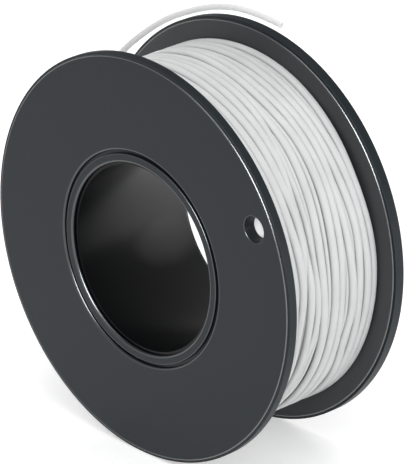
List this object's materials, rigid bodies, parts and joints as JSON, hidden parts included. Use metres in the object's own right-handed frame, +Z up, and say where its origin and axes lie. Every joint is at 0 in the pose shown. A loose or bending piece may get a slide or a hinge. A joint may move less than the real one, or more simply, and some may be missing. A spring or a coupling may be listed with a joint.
{
  "type": "filament spool",
  "caption": "Round flanged spool on a wide-bore tube, wound with thick plastic filament whose free end springs up over the rims.",
  "frame": {"origin": "on the floor under the middle of the spool, halfway between its flanges", "axes": "+Y along the spool's axis from the front flange to the rear flange, +X to the right seen from the front, +Z up"},
  "size_m": [0.1998, 0.0744, 0.2159],
  "materials": {
    "front_flange": "satin dark grey moulded plastic",
    "rear_flange": "satin dark grey moulded plastic",
    "core_tube": "smooth black plastic with soft reflections",
    "filament_pack": "smooth white filament",
    "filament_outer_layer": "smooth white filament, slightly translucent",
    "filament_free_end": "smooth white filament, slightly translucent"
  },
  "bodies": {
    "root": {"front_flange": "front_flange", "rear_flange": "rear_flange", "core_tube": "core_tube", "filament_pack": "filament_pack", "filament_outer_layer": "filament_outer_layer", "filament_free_end": "filament_free_end"}
  },
  "joints": []
}
